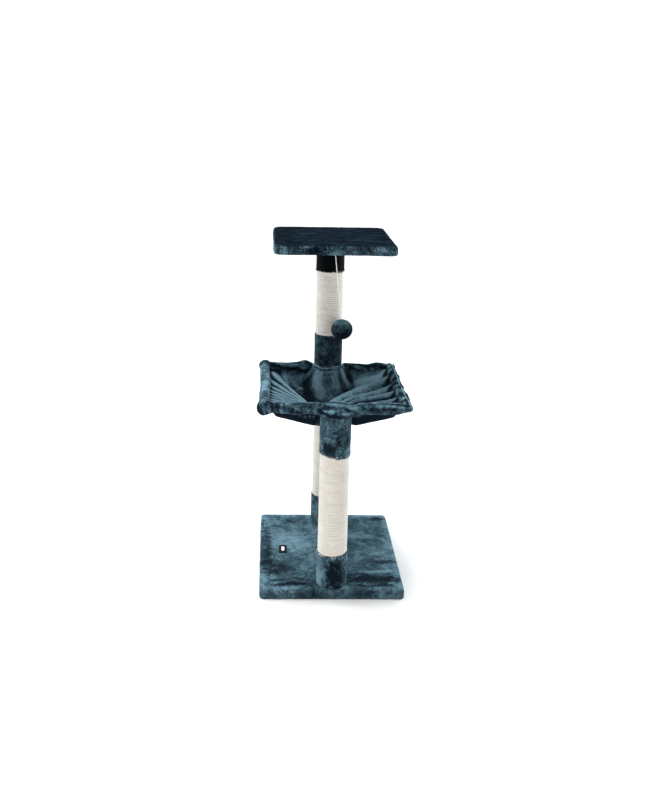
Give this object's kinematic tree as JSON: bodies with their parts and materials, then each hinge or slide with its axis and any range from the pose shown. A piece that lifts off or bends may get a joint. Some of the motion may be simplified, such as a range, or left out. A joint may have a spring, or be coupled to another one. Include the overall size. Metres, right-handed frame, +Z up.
{
  "type": "cat tree",
  "caption": "Small cat tree: plush base, sisal posts carrying a slung hammock, a square lookout on the tall rear post and a ball hanging on a cord.",
  "frame": {"origin": "centre of the base's underside, on the floor", "axes": "+Z up, +X to the right seen from the front, +Y from the front post towards the rear post"},
  "size_m": [0.3644, 0.477, 0.832],
  "materials": {
    "plush": "crushed velvet plush, blue-grey",
    "dark_plush": "short plush, dark navy",
    "sisal": "bleached sisal rope, wound",
    "board": "raw fibreboard",
    "felt": "thin needle felt",
    "cardboard": "wound paper tube",
    "plug_plastic": "moulded, matt",
    "zinc_steel": "zinc plated",
    "frame_steel": "black powder coat",
    "cord_white": "round elastic cord",
    "label_cloth": "woven damask label",
    "foam": "soft foam"
  },
  "bodies": {
    "tree": {"base_board": "board", "base_plush_cover": "plush", "base_underside_felt": "felt", "base_front_washer": "zinc_steel", "base_front_bolt": "zinc_steel", "base_rear_washer": "zinc_steel", "base_rear_bolt": "zinc_steel", "woven_label": "label_cloth", "front_post_tube": "cardboard", "front_post_lower_sleeve": "plush", "front_post_sisal_wrap": "sisal", "front_post_upper_sleeve": "plush", "front_post_bottom_plug": "plug_plastic", "front_post_bottom_insert": "zinc_steel", "front_post_top_plug": "plug_plastic", "front_post_top_insert": "zinc_steel", "rear_lower_post_tube": "cardboard", "rear_lower_post_lower_sleeve": "plush", "rear_lower_post_sisal_wrap": "sisal", "rear_lower_post_upper_sleeve": "plush", "rear_lower_post_bottom_plug": "plug_plastic", "rear_lower_post_bottom_insert": "zinc_steel", "rear_lower_post_top_plug": "plug_plastic", "rear_lower_post_top_insert": "zinc_steel", "rear_upper_post_tube": "cardboard", "rear_upper_post_lower_sleeve": "plush", "rear_upper_post_sisal_wrap": "sisal", "rear_upper_post_upper_sleeve": "plush", "rear_upper_post_bottom_plug": "plug_plastic", "rear_upper_post_bottom_insert": "zinc_steel", "rear_upper_post_top_plug": "plug_plastic", "rear_upper_post_top_insert": "zinc_steel", "hammock_wire_frame": "frame_steel", "hammock_front_roll": "plush", "hammock_rear_left_roll": "plush", "hammock_rear_right_roll": "plush", "hammock_left_roll": "plush", "hammock_right_roll": "plush", "hammock_sling": "plush", "hammock_front_washer": "zinc_steel", "hammock_front_bolt": "zinc_steel", "rear_joining_stud": "zinc_steel", "top_board": "board", "top_plush_cover": "dark_plush", "top_underside_felt": "felt", "top_washer": "zinc_steel", "top_bolt": "zinc_steel", "toy_staple": "zinc_steel"},
    "toy_loop": {"toy_cord_loop": "cord_white"},
    "toy": {"toy_cord": "cord_white", "toy_ball_core": "foam", "toy_ball_cover": "plush"}
  },
  "joints": [
    {"name": "toy_fore_swing", "type": "hinge", "parent": "tree", "child": "toy_loop", "pos_m": [0.008, 0.112, 0.8016], "axis": [1, 0, 0], "range_deg": [-50, 0]},
    {"name": "toy_side_swing", "type": "hinge", "parent": "toy_loop", "child": "toy", "pos_m": [0.008, 0.112, 0.7966], "axis": [0, 1, 0], "range_deg": [-44, 56]}
  ]
}
